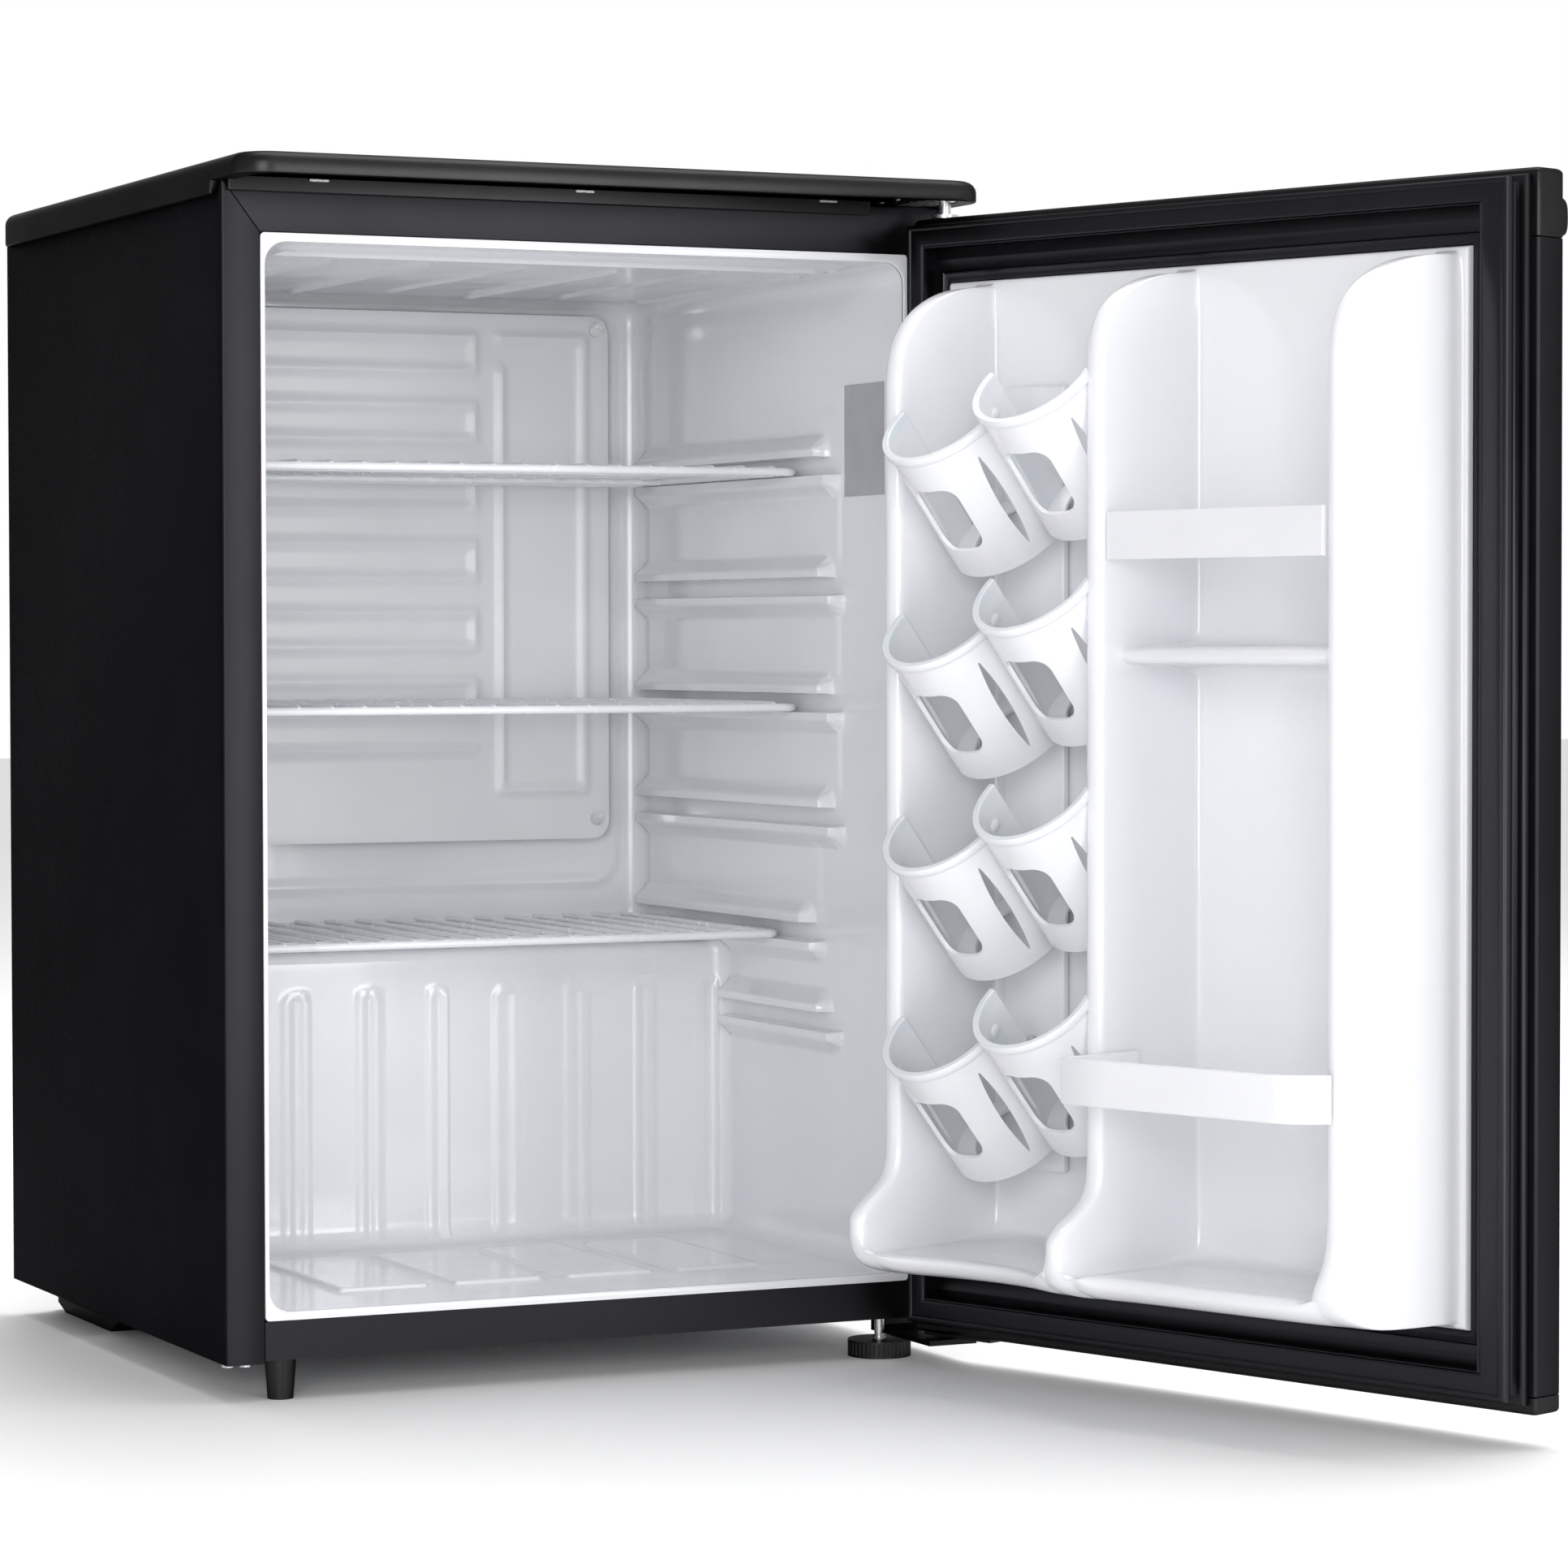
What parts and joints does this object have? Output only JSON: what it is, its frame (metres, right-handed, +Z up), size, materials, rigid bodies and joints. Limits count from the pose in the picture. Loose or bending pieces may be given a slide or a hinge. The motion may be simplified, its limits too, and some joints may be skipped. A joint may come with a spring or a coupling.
{
  "type": "mini fridge",
  "caption": "Compact black refrigerator with a hinged door, white liner, wire shelves, door bottle bay and a tilted can dispenser.",
  "frame": {"origin": "on the floor, on the centre line of the cabinet, in the plane of the front face that the door seal meets", "axes": "+Z up, +Y from the front to the back, +X to the right when facing the front; the door hinges at +X"},
  "size_m": [0.5873, 0.8547, 0.6815],
  "materials": {
    "black_steel": "satin black paint on steel sheet",
    "galvanised": "zinc-coated sheet",
    "black_plastic": "fine satin moulded plastic",
    "white_liner": "glossy vacuum-formed sheet",
    "white_plastic": "glossy moulded plastic",
    "white_enamel": "white powder coat on aluminium",
    "white_wire": "thick white coating on wire",
    "gasket_rubber": "soft dark grey vinyl",
    "rubber": "matte rubber",
    "foam": "rigid polyurethane foam",
    "zinc": "bright zinc plate",
    "copper": "drawn copper",
    "compressor_black": "black enamel",
    "grey_plate": "blank grey film"
  },
  "bodies": {
    "root": {"base_pan": "galvanised", "bottom_hinge": "black_steel", "cabinet_shell": "black_steel", "capillary_tube": "copper", "compressor": "compressor_black", "compressor_bolts": "zinc", "compressor_grommets": "rubber", "compressor_plate": "compressor_black", "compressor_rail": "compressor_black", "condenser_tube": "copper", "cover_clips": "zinc", "discharge_pipe": "copper", "drip_tray": "white_plastic", "evaporator_plate": "white_enamel", "evaporator_screws": "zinc", "filter_drier": "copper", "fixed_foot": "black_plastic", "flange_bolts": "zinc", "front_rail": "black_steel", "hinge_screws": "zinc", "hinge_washer": "zinc", "inlet_bracket": "galvanised", "inlet_gland": "rubber", "inner_liner": "white_liner", "insulation_foam": "foam", "rear_feet": "black_plastic", "rear_panel": "black_steel", "relay_cover": "black_plastic", "suction_pipe": "copper", "thermostat_housing": "black_plastic", "top_hinge": "zinc", "wall_plate": "grey_plate", "worktop_cover": "black_plastic"},
    "door": {"door_skin": "black_steel", "door_top_cap": "black_plastic", "door_bottom_cap": "black_plastic", "door_stop": "black_plastic", "door_foam": "foam", "door_liner": "white_liner", "door_gasket": "gasket_rubber", "can_rack": "white_plastic", "rack_screws": "zinc"},
    "upper_guard": {"upper_guard": "white_plastic"},
    "lower_guard": {"lower_guard": "white_plastic"},
    "upper_shelf": {"upper_shelf": "white_wire"},
    "middle_shelf": {"middle_shelf": "white_wire"},
    "lower_shelf": {"lower_shelf": "white_wire"},
    "thermostat_knob": {"thermostat_knob": "black_plastic"},
    "levelling_foot": {"levelling_disc": "black_plastic", "levelling_stud": "zinc"}
  },
  "joints": [
    {"name": "door_hinge", "type": "hinge", "parent": "root", "child": "door", "pos_m": [0.207, -0.03025, 0.34], "axis": [0, 0, 1], "range_deg": [-109.24, 15.76]},
    {"name": "upper_shelf_slide", "type": "slide", "parent": "root", "child": "upper_shelf", "axis": [0, -1, 0], "range_m": [0, 0.14]},
    {"name": "middle_shelf_slide", "type": "slide", "parent": "root", "child": "middle_shelf", "axis": [0, -1, 0], "range_m": [0, 0.14]},
    {"name": "lower_shelf_slide", "type": "slide", "parent": "root", "child": "lower_shelf", "axis": [0, -1, 0], "range_m": [0, 0.14]},
    {"name": "upper_guard_lift", "type": "slide", "parent": "door", "child": "upper_guard", "axis": [0, 0, 1], "range_m": [0, 0.03]},
    {"name": "lower_guard_lift", "type": "slide", "parent": "door", "child": "lower_guard", "axis": [0, 0, 1], "range_m": [0, 0.03]},
    {"name": "thermostat_turn", "type": "hinge", "parent": "root", "child": "thermostat_knob", "pos_m": [0.155, 0.4101, 0.166], "axis": [0, 1, 0], "range_deg": [0, 270]},
    {"name": "levelling_foot_turn", "type": "hinge", "parent": "root", "child": "levelling_foot", "pos_m": [0.1845, 0.011, 0.01], "axis": [0, 0, 1], "range_deg": [-720, 720]}
  ]
}
